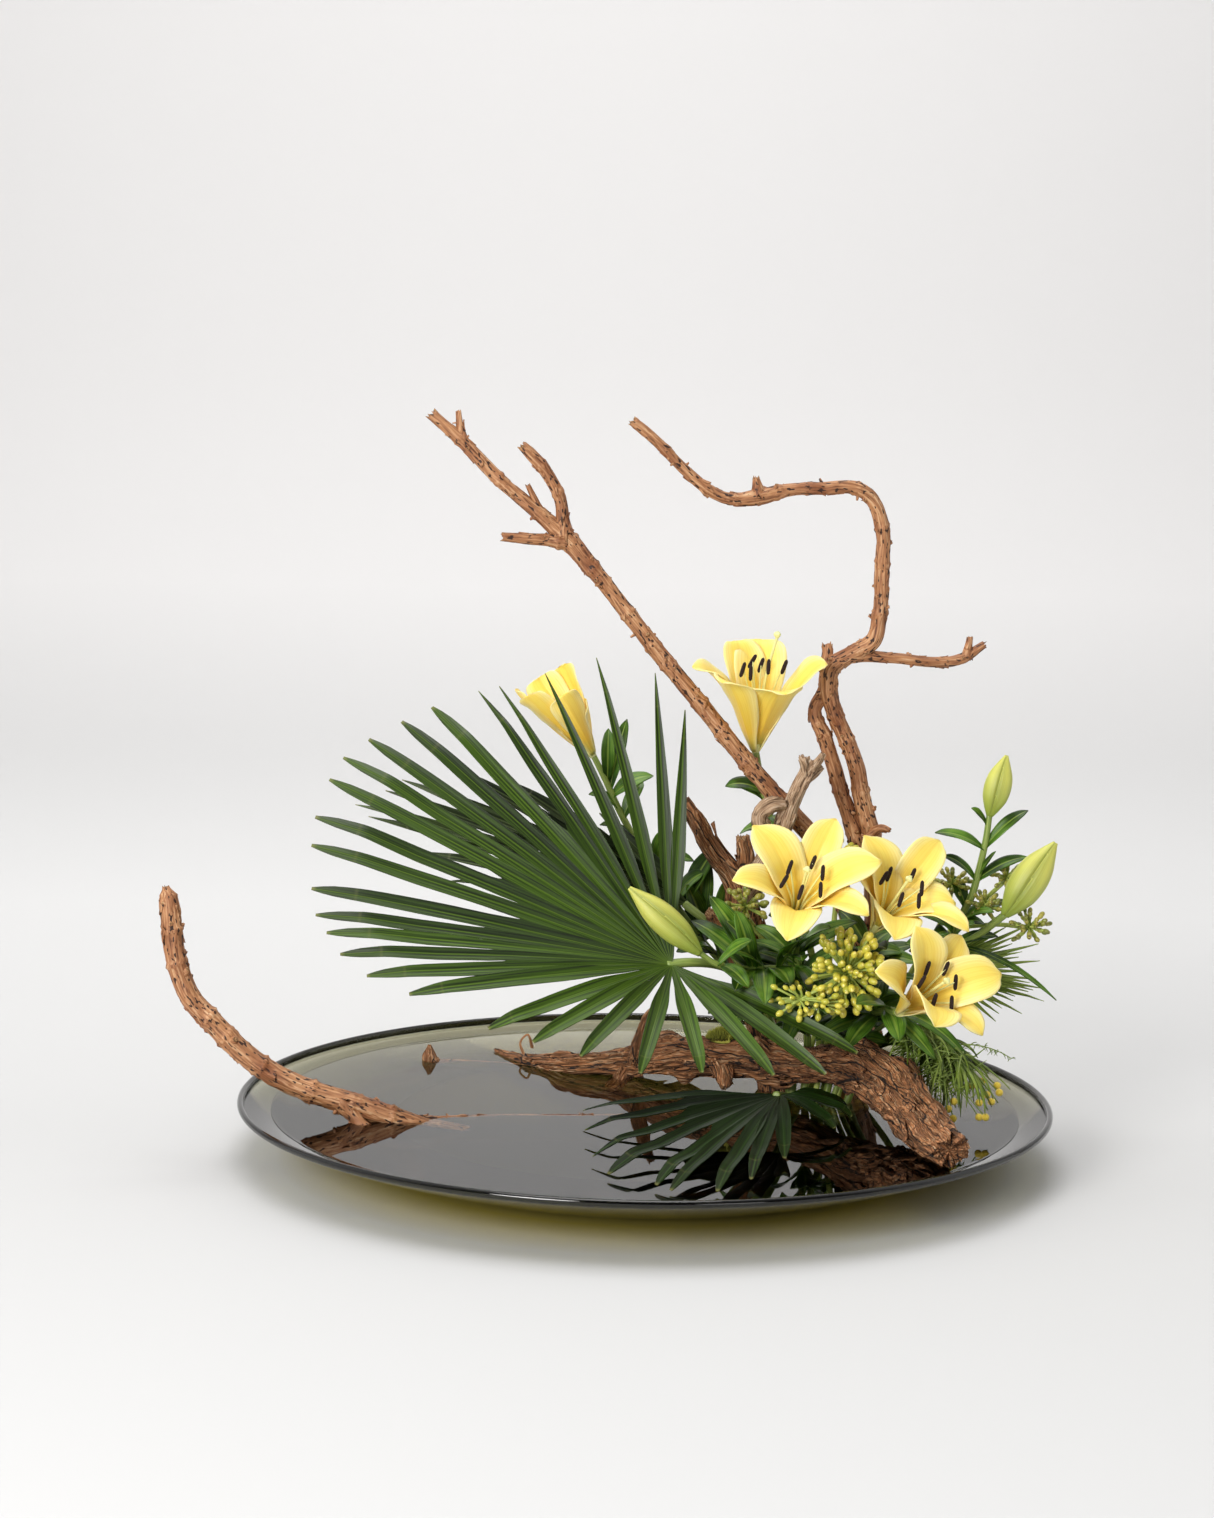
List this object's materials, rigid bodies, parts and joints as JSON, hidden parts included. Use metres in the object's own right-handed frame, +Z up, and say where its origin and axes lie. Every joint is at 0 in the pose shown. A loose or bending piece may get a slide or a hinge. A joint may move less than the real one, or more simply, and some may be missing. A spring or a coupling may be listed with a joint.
{
  "type": "ikebana arrangement",
  "caption": "Ikebana arrangement of yellow lilies, fan palm leaves, berries, driftwood and bare branches standing in a wide shallow glass bowl of water.",
  "frame": {"origin": "centre of the underside of the bowl's foot", "axes": "+Z up, -Y towards the front of the arrangement, +X to the viewer's right"},
  "size_m": [0.6965, 0.64, 0.5854],
  "materials": {
    "smoked_glass": "smooth, polished rim",
    "water": "still, clear",
    "pin_metal": "dull",
    "weathered_wood": "weathered bark in peeling layers",
    "bark": "smooth reddish bark with pits",
    "moss": "soft",
    "petal": "silky",
    "bud": "satin",
    "lily_green": "satin",
    "palm_green": "waxy",
    "palm_pale": "matt",
    "berry": "satin",
    "berry_dark": "satin",
    "spray": "matt"
  },
  "bodies": {
    "root": {"bowl": "smoked_glass", "water": "water", "pin_holder": "pin_metal", "driftwood_log": "weathered_wood", "driftwood_upright": "weathered_wood", "moss": "moss", "branch_long": "bark", "branch_right": "bark", "branch_left": "bark", "lily_bloom_top": "petal", "lily_bloom_left": "petal", "lily_bloom_centre": "petal", "lily_bloom_right": "petal", "lily_bloom_low": "petal", "lily_bud_front": "bud", "lily_bud_top": "bud", "lily_bud_right": "bud", "lily_stem_top": "lily_green", "lily_stem_left": "lily_green", "lily_stem_centre": "lily_green", "lily_stem_right": "lily_green", "lily_stem_low": "lily_green", "lily_stem_buds": "lily_green", "berries_front": "berry", "berries_back": "berry_dark", "berries_pale": "berry", "berries_right": "berry_dark", "floret_spray": "spray", "palm_leaf_large": "palm_green", "palm_leaf_back": "palm_pale", "palm_leaf_front": "palm_green", "palm_leaf_right": "palm_green"}
  },
  "joints": []
}
